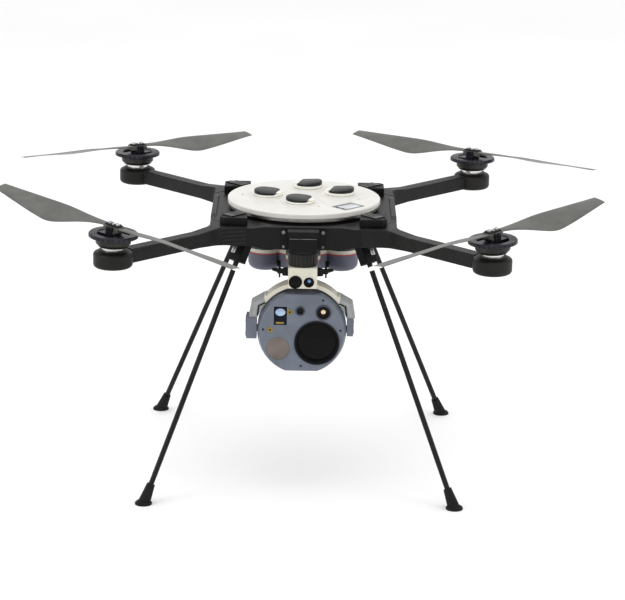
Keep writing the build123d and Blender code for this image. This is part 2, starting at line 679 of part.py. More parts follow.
def foot():
    """The rubber boot: a tapered sleeve on the tube over a flat round pad."""
    sleeve = turned([
        (0, -PAD_FOOT_HEIGHT),
        (BOOT_LOW_RADIUS, -PAD_FOOT_HEIGHT),
        (BOOT_LOW_RADIUS, PAD_FOOT_HEIGHT),
        (BOOT_TOP_RADIUS, BOOT_HEIGHT),
        (0, BOOT_HEIGHT),
    ])
    boot = leg_frame() * sleeve
    pad = disc(PAD_FOOT_RADIUS, 0, PAD_FOOT_HEIGHT, FOOT_REACH)
    boot += chamfer(pad.edges().sort_by(Axis.Z)[-1:], EDGE_ROUND)
    boot = boot & disc(BIG, 0, BIG)
    return boot - leg_frame() * disc(LEG_RADIUS, LEG_START, LEG_LENGTH)


def leg_bracket():
    """The socket under the body that holds a leg, with a gusset towards the middle."""
    low = LEG_LENGTH - SOCKET_LENGTH
    half = SOCKET_WIDTH / 2
    high = LEG_LENGTH + 2 * SOCKET_LENGTH
    socket = block((-SOCKET_DEPTH / 2, SOCKET_DEPTH / 2), (-half, half), (low, high))
    socket = fillet(socket.edges().filter_by(Axis.Z), EDGE_ROUND)
    solid = leg_frame() * socket
    low_end = leg_frame() * Vertex(0, 0, low)
    gusset = [
        (low_end.X - SOCKET_DEPTH / 2, low_end.Z),
        (low_end.X, low_end.Z + EDGE_ROUND),
        (low_end.X, BODY_BOTTOM),
        (low_end.X - GUSSET_REACH, BODY_BOTTOM),
    ]
    solid += side_prism(gusset, -GUSSET_WIDTH / 2, GUSSET_WIDTH / 2)
    solid = solid & disc(BIG, 0, BODY_BOTTOM)
    return solid - leg_frame() * disc(LEG_RADIUS + BORE_GAP, 0, LEG_LENGTH + STOP_GAP)


def corner_cap():
    """The black cap over the arm seam, slotted for the latch lever and bored for its pin."""
    inner = CAP_CORNER - CAP_SIDE
    square = Pos((CAP_CORNER + inner) / 2, (CAP_CORNER + inner) / 2) * Rectangle(CAP_SIDE, CAP_SIDE)
    corner = square.vertices().sort_by(lambda v: v.X + v.Y)[-1:]
    outline = Rot(0, 0, -45) * chamfer(corner, CAP_CHAMFER)
    solid = slab(outline, BODY_TOP, CAP_TOP)
    solid = fillet(solid.faces().sort_by(Axis.Z)[-1].edges(), EDGE_ROUND)
    solid -= disc(DECK_RADIUS + CAP_GAP, 0, BIG)
    solid -= block((SEAM_REACH - FACE_GAP, BIG), (-BIG, BIG), (0, BODY_TOP + CAP_LIFT))
    slot_half = LEVER_HALF + FACE_GAP
    floor = LEVER_PIVOT_HEIGHT - LEVER_ROUND - FACE_GAP
    solid -= block((SLOT_START, SLOT_END), (-slot_half, slot_half), (floor, BIG))
    bore_half = LEVER_PIN_HALF + FACE_GAP
    return solid - cross_bar(LEVER_PIN + BORE_GAP, -bore_half, bore_half, LEVER_PIVOT, LEVER_PIVOT_HEIGHT)


def latch_lever():
    """A ribbed lever lying in the cap, turning about a pin near its outer end."""
    low = LEVER_PIVOT_HEIGHT - LEVER_ROUND
    profile = [
        (LEVER_INNER, LEVER_TOP - LEVER_ROUND),
        (LEVER_INNER + LEVER_ROUND / 2, LEVER_TOP),
        (LEVER_PIVOT + LEVER_ROUND / 2, LEVER_TOP),
        (LEVER_PIVOT + LEVER_ROUND, LEVER_PIVOT_HEIGHT + LEVER_ROUND / 2),
        (LEVER_PIVOT + LEVER_ROUND, LEVER_PIVOT_HEIGHT),
        (LEVER_PIVOT, LEVER_PIVOT_HEIGHT),
        (LEVER_PIVOT, low),
        (LEVER_PIVOT - 3 * LEVER_ROUND, low),
    ]
    lever = side_prism(profile, -LEVER_HALF, LEVER_HALF)
    lever += cross_bar(LEVER_ROUND, -LEVER_HALF, LEVER_HALF, LEVER_PIVOT, LEVER_PIVOT_HEIGHT)
    for i in range(LEVER_RIBS):
        x = LEVER_INNER + RIB_PITCH * (i + 1.5)
        lever -= block((x, x + RIB_CUT), (-LEVER_HALF, LEVER_HALF), (LEVER_TOP - RIB_CUT, LEVER_TOP + 1))
    return lever + cross_bar(LEVER_PIN, -LEVER_PIN_HALF, LEVER_PIN_HALF, LEVER_PIVOT, LEVER_PIVOT_HEIGHT)


# ------------------------------------------------------------------ payload


def payload_mount():
    """The bracket on the front panel that carries the gimbal."""
    back = -PANEL_FRONT
    strip = back - STRIP_DEPTH
    reach = back - MOUNT_REACH
    top = BODY_TOP + PANEL_ABOVE - EDGE_ROUND
    plate = block((-STRIP_HALF, STRIP_HALF), (strip, back), (PANEL_BOTTOM + EDGE_ROUND, top - EDGE_ROUND / 2))
    plate = fillet(plate.edges().filter_by(Axis.Y), EDGE_ROUND)
    lip = block((-MOUNT_HALF, MOUNT_HALF), (reach, back), (top - LIP_HEIGHT, top))
    front_edges = lip.edges().filter_by(Axis.X).sort_by(Axis.Y)[:2]
    lip = fillet(list(front_edges) + list(lip.edges().filter_by(Axis.Z).sort_by(Axis.Y)[:2]), EDGE_ROUND)
    lower = block(
        (EDGE_ROUND - MOUNT_HALF, MOUNT_HALF - EDGE_ROUND),
        (reach + 3 * EDGE_ROUND, back),
        (PANEL_BOTTOM, top - LIP_HEIGHT),
    )
    lower = fillet(lower.edges().filter_by(Axis.Z).sort_by(Axis.Y)[:2], EDGE_ROUND)
    return plate + lip + lower


def pan_motor():
    """The ribbed round motor under the bracket, bored for the gimbal's shaft."""
    drum = disc(PAN_RADIUS, PAN_BOTTOM, PANEL_BOTTOM)
    for i in range(PAN_GROOVES):
        groove = block(
            (PAN_RADIUS - GROOVE_DEPTH, PAN_RADIUS + 1),
            (-GROOVE_WIDTH / 2, GROOVE_WIDTH / 2),
            (PAN_BOTTOM + EDGE_ROUND, PANEL_BOTTOM - EDGE_ROUND),
        )
        drum -= Rot(0, 0, 360 / PAN_GROOVES * i) * groove
    drum = Pos(0, GIMBAL_Y, 0) * drum
    behind = PANEL_DEPTH - PANEL_FRONT
    half = PAN_RADIUS / 2
    drum += block((-half, half), (behind, behind + 2 * PANEL_DEPTH), (PANEL_BOTTOM, BODY_BOTTOM))
    return drum - disc(GIMBAL_SHAFT + BORE_GAP, PAN_BOTTOM, PANEL_BOTTOM - EDGE_ROUND, 0, GIMBAL_Y)


def gimbal_frame():
    """Middle of the tilt axis, under the pan axis."""
    return Pos(0, GIMBAL_Y, TILT_HEIGHT)


def gimbal_yoke():
    """The cream neck and the arch over the camera, with cheeks that carry the tilt drives."""
    neck_top = PAN_BOTTOM - FACE_GAP - TILT_HEIGHT
    half = NECK_DEPTH / 2
    neck = block((-NECK_HALF, NECK_HALF), (-half, half), (NECK_BOTTOM, neck_top))
    neck = fillet(neck.edges().filter_by(Axis.Z), EDGE_ROUND)
    deep = ARCH_DEPTH / 2
    arch = cross_bar(ARCH_OUTER, -deep, deep, 0, 0) & block((-BIG, BIG), (-BIG, BIG), (CHEEK_BOTTOM, BIG))
    for side in (-1, 1):
        cheek = [
            (side * ARCH_INNER / 2, CHEEK_BOTTOM),
            (side * CHEEK_OUTER, CHEEK_BOTTOM),
            (side * (CHEEK_OUTER - 2 * EDGE_ROUND), 2 * CHEEK_BOTTOM),
            (side * ARCH_OUTER * 0.72, ARCH_OUTER * 0.72),
            (side * ARCH_INNER / 2, ARCH_INNER / 2),
        ]
        arch += side_prism(cheek, -deep, deep)
    solid = neck + (arch - cross_bar(ARCH_INNER, -BIG, BIG, 0, 0))
    for x, radius in PILOT_LENSES:
        solid -= cross_bar(radius + BEZEL_WIDTH, -half, PILOT_DEPTH - half, x, PILOT_HEIGHT)
    shaft_top = PANEL_BOTTOM - 2 * EDGE_ROUND - TILT_HEIGHT
    solid += disc(GIMBAL_SHAFT, neck_top - 1, shaft_top)
    return gimbal_frame() * solid


def pilot_lenses():
    """The two small cameras in the front of the neck."""
    half = NECK_DEPTH / 2
    lenses = []
    for x, radius in PILOT_LENSES:
        barrel = cross_bar(radius + BEZEL_WIDTH, -half, PILOT_DEPTH - half, x, PILOT_HEIGHT)
        hollow = cross_bar(radius, -half, EDGE_ROUND - half, x, PILOT_HEIGHT)
        lenses.append(gimbal_frame() * (barrel - hollow))
    return Compound(children=lenses)


def tilt_drives():
    """The housings at each end of the tilt axis, bored for the camera's trunnions."""
    deep = DRIVE_DEPTH / 2
    housings = []
    for side, outer, low in ((-1, DRIVE_LEFT, -14.0), (1, DRIVE_RIGHT, -8.0)):
        near, far = sorted((side * DRIVE_INNER, side * outer))
        housing = block((near, far), (-deep, deep), (low, CHEEK_BOTTOM))
        housing = fillet(housing.edges().filter_by(Axis.X), DRIVE_EDGE)
        near, far = sorted((side * DRIVE_INNER, side * (TRUNNION_END + FACE_GAP)))
        housing -= side_bar(GIMBAL_SHAFT + BORE_GAP, near, far, 0, 0)
        housings.append(gimbal_frame() * housing)
    return Compound(children=housings)


def ball_blank(radius, flat, ahead):
    """A drum-waisted ball with a flat top and bottom and a flat face towards -Y."""
    ball = Sphere(radius + BALL_SWELL) & cross_bar(radius, -BIG, BIG, 0, 0)
    return ball & block((-BIG, BIG), (-ahead, BIG), (-flat, flat))


def face_bore(lens, grow, deep):
    """A round opening through the camera's face."""
    across, up, radius = lens
    return cross_bar(radius + grow, -FACE_AHEAD - deep, deep - FACE_AHEAD, across, up)


def prism_box(grow, near, far):
    """The rectangular window of the camera, from one depth behind the face to another."""
    across, up, wide, tall = PRISM_WINDOW
    return block(
        (across - wide / 2 - grow, across + wide / 2 + grow),
        (near - FACE_AHEAD, far - FACE_AHEAD),
        (up - tall / 2 - grow, up + tall / 2 + grow),
    )


def camera_ball():
    """The camera's housing: a hollow ball with trunnions and an opening for each lens."""
    solid = ball_blank(BALL_RADIUS, BALL_FLAT, FACE_AHEAD)
    rim = solid.faces().filter_by(Axis.Y).sort_by(Axis.Y)[0].edges()
    solid = chamfer(rim, FACE_EDGE)
    solid -= ball_blank(BALL_RADIUS - SHELL, BALL_FLAT - SHELL, FACE_AHEAD - SHELL)
    for lens in (BIG_LENS, ZOOM_LENS, SMALL_LENS, HEAT_WINDOW):
        solid -= face_bore(lens, 0, SHELL)
    solid -= prism_box(0, -SHELL, SHELL)
    for side in (-1, 1):
        near, far = sorted((side * (BALL_RADIUS - SHELL - 1), side * TRUNNION_END))
        solid += side_bar(GIMBAL_SHAFT, near, far, 0, 0)
    return gimbal_frame() * solid


def lens_bezels():
    """The raised rings round the lenses, standing on the face."""
    rings = []
    for lens in (BIG_LENS, ZOOM_LENS, SMALL_LENS):
        across, up, radius = lens
        front, back = -FACE_AHEAD - BEZEL_PROUD, -FACE_AHEAD
        ring = cross_bar(radius + BEZEL_WIDTH, front, back, across, up)
        rings.append(gimbal_frame() * (ring - cross_bar(radius, front, back, across, up)))
    return Compound(children=rings)


def camera_glass():
    """The lenses and windows, each set a little back in its opening."""
    panes = []
    for lens, sink in ((BIG_LENS, 1.0), (ZOOM_LENS, 0.6), (SMALL_LENS, 0.6), (HEAT_WINDOW, 0.3)):
        across, up, radius = lens
        pane = cross_bar(radius, sink - FACE_AHEAD, SHELL - FACE_AHEAD, across, up)
        panes.append(gimbal_frame() * pane)
    panes.append(gimbal_frame() * prism_box(0, 0.6, SHELL))
    return Compound(children=panes)


def camera_core():
    """Lens barrels on a carrier block, inside the ball."""
    face_back = SHELL - FACE_AHEAD
    core = block((-36, 40), (-10, 26), (-36, 36))
    for lens in (BIG_LENS, ZOOM_LENS, HEAT_WINDOW):
        across, up, radius = lens
        core += cross_bar(radius * 0.8, face_back, 0, across, up)
    return gimbal_frame() * core


# ------------------------------------------------------------------ write everything

os.makedirs("parts", exist_ok=True)

write("frame", body_frame())
write("deck_band", deck_band())
write("top_deck", top_deck())
write("display_window", display_window())
write("circuit_board", circuit_board())
write("battery_bay", battery_bay())
write("gasket", gasket())
write("battery_cup", battery_cup())
write("batteries", batteries())
for name, (x, y) in KNOB_SPOTS.items():
    turn = 180 if name in ("right", "back") else 0
    write(f"knob_{name}", Pos(x, y, DECK_TOP) * Rot(0, 0, turn) * knob())

one_arm, one_leg, one_foot = arm(), leg(), foot()
one_stator, one_bell, one_ring = stator(), rotor_bell(), prop_ring()
one_lever, one_cap, one_bracket = latch_lever(), corner_cap(), leg_bracket()
caps, brackets = [], []
for name, (azimuth, cant, prop_angle, rise, spin) in CORNERS.items():
    motor = motor_frame(cant)
    blade_turn = Rot(0, 0, prop_angle - azimuth)
    write(f"arm_{name}", at_corner(azimuth, one_arm))
    write(f"motor_pod_{name}", at_corner(azimuth, motor_pod(cant)))
    write(f"stator_{name}", at_corner(azimuth, motor * one_stator))
    write(f"rotor_bell_{name}", at_corner(azimuth, motor * one_bell))
    write(f"prop_ring_{name}", at_corner(azimuth, motor * blade_turn * one_ring))
    write(f"propeller_{name}", at_corner(azimuth, motor * blade_turn * teeter(rise) * propeller(spin)))
    write(f"leg_{name}", at_corner(azimuth, one_leg))
    write(f"foot_{name}", at_corner(azimuth, one_foot))
    write(f"latch_lever_{name}", at_corner(azimuth, one_lever))
    caps.append(at_corner(azimuth, one_cap))
    brackets.append(at_corner(azimuth, one_bracket))
write("corner_caps", Compound(children=caps))
write("leg_brackets", Compound(children=brackets))

write("payload_mount", payload_mount())
write("pan_motor", pan_motor())
write("gimbal_yoke", gimbal_yoke())
write("pilot_lenses", pilot_lenses())
write("tilt_drives", tilt_drives())
write("camera_ball", camera_ball())
write("lens_bezels", lens_bezels())
write("camera_glass", camera_glass())
write("camera_core", camera_core())
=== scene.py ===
# %% [markdown]
# # A quadcopter drone, finished in Blender
# The CAD model is the frame. It is loaded first, it is never moved, and every new piece takes its place
# from a CAD box or a joint.

# %% Load the frame
import bpy
import bmesh
import json
import math
from mathutils import Matrix, Vector


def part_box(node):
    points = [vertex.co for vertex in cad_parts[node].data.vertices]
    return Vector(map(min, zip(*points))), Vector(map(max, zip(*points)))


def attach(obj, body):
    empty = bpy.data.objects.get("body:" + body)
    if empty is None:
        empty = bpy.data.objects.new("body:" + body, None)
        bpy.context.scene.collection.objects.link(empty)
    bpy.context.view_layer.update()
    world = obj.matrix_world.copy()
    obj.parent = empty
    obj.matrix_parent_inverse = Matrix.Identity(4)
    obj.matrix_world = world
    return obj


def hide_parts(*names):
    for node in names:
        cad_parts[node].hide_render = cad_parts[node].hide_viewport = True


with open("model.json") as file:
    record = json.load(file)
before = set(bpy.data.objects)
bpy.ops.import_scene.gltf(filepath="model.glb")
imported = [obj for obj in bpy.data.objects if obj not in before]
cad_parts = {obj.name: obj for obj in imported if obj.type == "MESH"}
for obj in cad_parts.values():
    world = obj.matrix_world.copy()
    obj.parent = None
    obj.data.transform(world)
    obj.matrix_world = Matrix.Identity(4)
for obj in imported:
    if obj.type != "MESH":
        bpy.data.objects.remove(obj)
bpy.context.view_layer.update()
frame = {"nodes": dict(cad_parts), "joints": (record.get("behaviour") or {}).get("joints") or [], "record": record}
nodes, record = frame["nodes"], frame["record"]
joints = {j["name"]: j for j in frame["joints"]}
CORNERS = ("fl", "fr", "bl", "br")
MM = 0.001

# %% [markdown]
# ## Camera
# The drone is seen from in front and a little above with a long lens, so that its arms hardly
# converge. A long lens stands far away: here it is over four metres from the object.

# %% Camera
CAMERA_PLACE = Vector((0.0061, -4.2525, 1.4455))
CAMERA_TARGET = Vector((0.0165, 0.0, 0.270))
CAMERA_LENS = 155.2
CAMERA_ROLL = math.radians(0.985)

camera_data = bpy.data.cameras.new("camera")
camera_data.lens = CAMERA_LENS
camera_data.clip_end = 50
camera = bpy.data.objects.new("camera", camera_data)
bpy.context.scene.collection.objects.link(camera)
aim = (CAMERA_TARGET - CAMERA_PLACE).to_track_quat("-Z", "Y").to_matrix().to_4x4()
camera.matrix_world = Matrix.Translation(CAMERA_PLACE) @ aim @ Matrix.Rotation(CAMERA_ROLL, 4, "Z")
bpy.context.scene.camera = camera
bpy.context.scene.view_settings.view_transform = "Standard"

# %% [markdown]
# ## Helpers for materials
# Colours are chosen as sRGB hex values, and shaders work in linear light, so one function converts them.
# One more adds a node: a socket among its inputs is linked, and anything else is set.

# %% Material helpers
def linear(code):
    """An sRGB hex colour as linear RGBA."""
    parts = [int(code[i : i + 2], 16) / 255 for i in (1, 3, 5)]
    return [c / 12.92 if c <= 0.04045 else ((c + 0.055) / 1.055) ** 2.4 for c in parts] + [1.0]


def add(tree, kind, inputs=None, **settings):
    """One node, with its settings, and its inputs set or linked."""
    node = tree.nodes.new("ShaderNode" + kind)
    for key, value in settings.items():
        setattr(node, key, value)
    for key, value in (inputs or {}).items():
        if isinstance(value, bpy.types.NodeSocket):
            tree.links.new(value, node.inputs[key])
        else:
            node.inputs[key].default_value = value
    return node


def surface(name, roughness, metallic=0.0, **sockets):
    """A material with its shader, and the object coordinates that its patterns read."""
    material = bpy.data.materials.new(name)
    material.use_nodes = True
    tree = material.node_tree
    shader = tree.nodes["Principled BSDF"]
    shader.inputs["Roughness"].default_value = roughness
    shader.inputs["Metallic"].default_value = metallic
    for key, value in sockets.items():
        shader.inputs[key.replace("_", " ")].default_value = value
    coords = add(tree, "TexCoord").outputs["Object"]
    return material, tree, shader, coords


def per_metre(size_mm):
    """A noise scale whose grains are about this many millimetres across."""
    return 1 / (size_mm * MM)


def band_scale(pitch_mm):
    """A wave texture's scale for bands this many millimetres apart: its period is 2 pi over 20 scales."""
    return 2 * math.pi / (20 * pitch_mm * MM)


def mottle(tree, coords, dark, light, grain_mm, detail=3.0):
    """Two colours mixed by noise."""
    noise = add(tree, "TexNoise", {"Vector": coords, "Scale": per_metre(grain_mm), "Detail": detail})
    ramp = add(tree, "ValToRGB", {"Fac": noise.outputs["Fac"]})
    ramp.color_ramp.elements[0].position, ramp.color_ramp.elements[1].position = 0.3, 0.7
    ramp.color_ramp.elements[0].color, ramp.color_ramp.elements[1].color = linear(dark), linear(light)
    return ramp.outputs["Color"]


def grain_bump(tree, shader, height, depth_mm, strength=1.0):
    """Relief of this depth, from a height between 0 and 1."""
    bump = add(tree, "Bump", {"Height": height, "Strength": strength, "Distance": depth_mm * MM})
    tree.links.new(bump.outputs["Normal"], shader.inputs["Normal"])


def painted(name, dark, light, roughness, grain_mm=0.8, bump_mm=0.02, mottle_mm=30.0, **sockets):
    """A plain moulded, painted or anodised surface: slow colour drift, and a fine grain in relief."""
    material, tree, shader, coords = surface(name, roughness, **sockets)
    tree.links.new(mottle(tree, coords, dark, light, mottle_mm), shader.inputs["Base Color"])
    noise = add(tree, "TexNoise", {"Vector": coords, "Scale": per_metre(grain_mm), "Detail": 2.0})
    grain_bump(tree, shader, noise.outputs["Fac"], bump_mm)
    return material


# %% [markdown]
# ## Carbon fibre
# The tub, the arms and the motor pods are woven carbon fibre under a thin satin resin. To the eye it is
# near black, with fine slanting ribs where the tows catch the light. The ribs are drawn wider apart than
# tows often lie, so that they still show from four metres away. On an arm the ribs have to follow the
# arm, so each corner has its own material, turned to that arm's direction.

# %% Carbon fibre
TOW_PITCH = 5.7


def carbon(name, azimuth, slant=0.9, dark="#0c0b0b", light="#262524", rib_mm=0.35):
    """Satin carbon cloth whose ribs slant across the direction of its arm."""
    material, tree, shader, coords = surface(name, 0.42, Specular_IOR_Level=0.16)
    along = add(tree, "Mapping", {"Vector": coords, "Rotation": (0, 0, -azimuth)})
    split = add(tree, "SeparateXYZ", {"Vector": along.outputs["Vector"]})
    lean = add(tree, "Math", {0: split.outputs["Y"], 1: split.outputs["Z"]}, operation="ADD")
    shift = add(tree, "Math", {0: lean.outputs[0], 1: slant}, operation="MULTIPLY")
    skewed = add(tree, "Math", {0: split.outputs["X"], 1: shift.outputs[0]}, operation="ADD")
    line = add(tree, "CombineXYZ", {"X": skewed.outputs[0]})
    wave = add(tree, "TexWave", {"Vector": line.outputs["Vector"], "Scale": band_scale(TOW_PITCH)})
    cloud = add(tree, "TexNoise", {"Vector": coords, "Scale": per_metre(18), "Detail": 4.0})
    fade = add(tree, "Math", {0: wave.outputs["Fac"], 1: cloud.outputs["Fac"]}, operation="MULTIPLY")
    colour = add(tree, "ValToRGB", {"Fac": fade.outputs[0]})
    colour.color_ramp.elements[0].color = linear(dark)
    colour.color_ramp.elements[1].color = linear(light)
    colour.color_ramp.elements[1].position = 0.75
    tree.links.new(colour.outputs["Color"], shader.inputs["Base Color"])
    grain_bump(tree, shader, wave.outputs["Fac"], rib_mm, 0.8)
    return material


def azimuth_of(corner):
    """Direction of an arm, from the middle of the body."""
    x, y, _ = joints["arm_fold_" + corner]["pos_m"]
    return math.atan2(y, x)


carbon_body = carbon("carbon_tub", 0.0, 0.0, dark="#0d0c0c", light="#151414", rib_mm=0.02)
carbon_arm = {c: carbon("carbon_arm_" + c, azimuth_of(c)) for c in CORNERS}
carbon_pod = painted(
    "carbon_pod", "#100f0e", "#1c1b19", 0.45, grain_mm=2.5, bump_mm=0.12, Specular_IOR_Level=0.2
)
carbon_tube = painted(
    "carbon_tube", "#0d0c0b", "#171614", 0.4, grain_mm=1.2, bump_mm=0.03, Specular_IOR_Level=0.2
)
print("carbon materials for", len(carbon_arm), "arms")

# %% [markdown]
# ## Plastics, paint and metals
# Each is named for what it is. Moulded nylon has a fine sparkled grain, sprayed paint a faint orange
# peel, and turned metal bright rings, so the grain's size and depth differ more than the colours do.

# %% Plastics and paint
black_nylon = painted(
    "black_nylon", "#060607", "#0e0e0f", 0.48, grain_mm=0.7, bump_mm=0.04, Specular_IOR_Level=0.15
)
lever_gloss = painted(
    "black_lever_gloss", "#08090a", "#121315", 0.28, grain_mm=6.0, bump_mm=0.05, Specular_IOR_Level=0.22
)
white_lid = painted("white_lid_paint", "#d4d2cc", "#dcdad5", 0.38, bump_mm=0.015)
grey_cheek = painted("grey_cheek_paint", "#8b8e8f", "#9b9d9d", 0.4, bump_mm=0.02)
blue_grey_paint = painted("blue_grey_paint", "#575d69", "#646b77", 0.38, grain_mm=0.6, bump_mm=0.02)
cup_plastic = painted("blue_grey_cup_plastic", "#494b5a", "#565868", 0.5, grain_mm=1.0, bump_mm=0.04)
red_silicone = painted("red_silicone", "#a3262a", "#bb3a38", 0.6, bump_mm=0.03)
boot_rubber = painted(
    "boot_rubber", "#0c0c0c", "#181717", 0.7, grain_mm=1.5, bump_mm=0.1, Specular_IOR_Level=0.2
)
grip_rubber = painted(
    "knob_grip_nylon", "#131416", "#1e1f22", 0.38, grain_mm=0.8, bump_mm=0.05, Specular_IOR_Level=0.2
)
knob_cream = painted("knob_base_cream", "#dedbd0", "#ebe9e1", 0.4, bump_mm=0.02)
pan_shell = painted(
    "pan_motor_anodised", "#141312", "#24221f", 0.38, grain_mm=0.5, bump_mm=0.02, metallic=0.5
)
board_resist = painted("board_solder_resist", "#0d3a22", "#175233", 0.35, grain_mm=3.0)
cell_wrap = painted("cell_shrink_wrap", "#141518", "#202228", 0.3, grain_mm=5.0, bump_mm=0.06)
screw_black = painted("screw_black_oxide", "#0e0e0f", "#1a1a1b", 0.3, metallic=0.8)
screen_grey = painted("screen_reflective", "#b4b8ba", "#cfd2d2", 0.25, grain_mm=8.0, bump_mm=0.01)
screen_frame = painted("screen_frame_grey", "#4a4e52", "#62666a", 0.35)
barrel_black = painted(
    "lens_barrel_black", "#060607", "#0d0d0f", 0.5, grain_mm=0.5, bump_mm=0.03, Specular_IOR_Level=0.12
)
heat_window = painted("heat_window_germanium", "#5c534f", "#756b65", 0.22, grain_mm=9.0, metallic=0.25)


# %% Two colours on one moulding, or one colour under painted shade
def zoned(name, low, high, axis, edge, roughness, both_sides=False):
    """A moulding painted in two colours, or one colour with painted shade over part of it, which meet at a
    distance along one axis.
    """
    material, tree, shader, coords = surface(name, roughness)
    split = add(tree, "SeparateXYZ", {"Vector": coords})
    along = split.outputs[axis]
    if both_sides:
        along = add(tree, "Math", {0: along}, operation="ABSOLUTE").outputs[0]
    step = add(tree, "MapRange", {"Value": along, "From Min": edge, "From Max": edge + 0.0004})
    below, above = mottle(tree, coords, *low, 30.0), mottle(tree, coords, *high, 30.0)
    mixed = add(tree, "Mix", {"Factor": step.outputs["Result"], 6: below, 7: above}, data_type="RGBA")
    tree.links.new(mixed.outputs[2], shader.inputs["Base Color"])
    noise = add(tree, "TexNoise", {"Vector": coords, "Scale": per_metre(1.0), "Detail": 2.0})
    grain_bump(tree, shader, noise.outputs["Fac"], 0.03)
    return material


CREAM, CHEEK_GREY, SKIRT_PAINTED_SHADE = ("#c6c3b1", "#d6d3c4"), ("#85888a", "#959898"), ("#09090a", "#131314")
SKIRT_STRIP = 0.006  # the cream left showing over the seal
# The skirt is cream all over. Above the strip it lies in the shade of the body's edge, so it is painted near black
# there: painted shade.
skirt_cream_and_painted_shade = zoned(
    "skirt_cream_under_painted_shade", CREAM, SKIRT_PAINTED_SHADE, "Z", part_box("battery_bay")[0].z + SKIRT_STRIP, 0.45
)
yoke_paint = zoned("yoke_cream_and_grey", CREAM, CHEEK_GREY, "X", 0.060, 0.42, both_sides=True)


# %% Turned and anodised metals
def turned_metal(name, dark, light, roughness, ring_mm, metallic=1.0):
    """Lathe-turned metal: fine rings about the piece's own Z, as bands of height."""
    material, tree, shader, coords = surface(name, roughness, metallic)
    tree.links.new(mottle(tree, coords, dark, light, 12.0), shader.inputs["Base Color"])
    wave = add(
        tree,
        "TexWave",
        {"Vector": coords, "Scale": band_scale(ring_mm), "Distortion": 0.4},
        bands_direction="Z",
    )
    grain_bump(tree, shader, wave.outputs["Fac"], 0.05, 0.6)
    return material


bright_turned = turned_metal("bright_turned_aluminium", "#c9c7c4", "#e6e5e3", 0.22, 1.2)
band_metal = turned_metal("deck_band_aluminium", "#b9b3ae", "#d8d3cf", 0.28, 1.0)
bell_anodised = turned_metal("bell_black_anodised", "#232220", "#363532", 0.38, 2.0, 0.7)
ring_anodised = turned_metal("ring_violet_anodised", "#1a1820", "#2c2a34", 0.34, 3.5, 0.6)
bezel_anodised = turned_metal("bezel_anodised", "#30343c", "#454a54", 0.3, 1.0, 0.7)
brass = turned_metal("brass_turned", "#756638", "#94824c", 0.35, 0.8)
steel = turned_metal("screw_steel", "#b5b7ba", "#dcdde0", 0.22, 0.6)
zinc = turned_metal("screw_dull_zinc", "#5e6063", "#7e8083", 0.35, 0.6)
print("plastics and metals ready")

# %% [markdown]
# ## Propeller composite
# The blades are moulded from a glass-filled composite: an olive grey with a fine lengthwise grain, and
# white paint on the last stretch, so that a turning rotor can be seen. The paint begins at a distance
# from the hub, which the shader measures on each propeller's own coordinates.

# %% Propeller material
TIP_PAINT = 0.240  # from the hub to where the white begins
PAINT_EDGE = 0.0012


def blade_material(corner):
    """Olive grey composite with white tips, measured from this rotor's hub."""
    hub = Vector(joints["rotor_spin_" + corner]["pos_m"])
    material, tree, shader, coords = surface("blade_composite_" + corner, 0.36, IOR=1.52)
    offset = add(tree, "VectorMath", {0: coords, 1: hub}, operation="DISTANCE")
    edge = add(
        tree,
        "MapRange",
        {"Value": offset.outputs["Value"], "From Min": TIP_PAINT, "From Max": TIP_PAINT + PAINT_EDGE},
    )
    body = mottle(tree, coords, "#40403c", "#52524d", 22.0, 5.0)
    mixed = add(
        tree,
        "Mix",
        {"Factor": edge.outputs["Result"], 6: body, 7: linear("#efefec")},
        data_type="RGBA",
    )
    tree.links.new(mixed.outputs[2], shader.inputs["Base Color"])
    noise = add(tree, "TexNoise", {"Vector": coords, "Scale": per_metre(1.5), "Detail": 3.0})
    grain_bump(tree, shader, noise.outputs["Fac"], 0.03)
    return material


# %% [markdown]
# ## Glass
# Coated optical glass is nearly black from outside, with a faint tint. A clear glass over a black barrel
# costs many bounces of light, so a front element is a dark, very smooth dielectric, and a bright
# reflector is a piece of its own.

# %% Glass materials
def coated_glass(name, dark, light, roughness=0.03):
    """A dark, smooth lens front whose colour drifts a little from one side to the other."""
    material, tree, shader, coords = surface(
        name, roughness, IOR=1.5, Specular_IOR_Level=0.12
    )
    tree.links.new(mottle(tree, coords, dark, light, 40.0), shader.inputs["Base Color"])
    return material


lens_dark = coated_glass("lens_coated_dark", "#010102", "#040406")
lens_amber = coated_glass("lens_coated_amber", "#0c0603", "#1d1209")
lens_green = coated_glass("lens_coated_green", "#06120e", "#14271f")
lens_blue = coated_glass("prism_coated_blue", "#040810", "#0a1424")
mirror_silver = painted("prism_mirror_silver", "#5f7fa8", "#a9bfd8", 0.12, grain_mm=10, metallic=1.0)
mirror_gold = painted("lens_reflector_gold", "#c9a878", "#f3dfc0", 0.12, grain_mm=10, metallic=1.0)

# %% [markdown]
# ## Dressing the CAD nodes
# Most CAD nodes have the right shape already, and only need their finish. A CAD node has one material slot.

# %% Materials on the CAD nodes
def dress(material, *names):
    """Gives CAD nodes their finish."""
    for name in names:
        data = nodes[name].data
        data.materials.clear()
        data.materials.append(material)


def at_corners(stem):
    """The four names of a node that each corner has."""
    return [f"{stem}_{c}" for c in CORNERS]


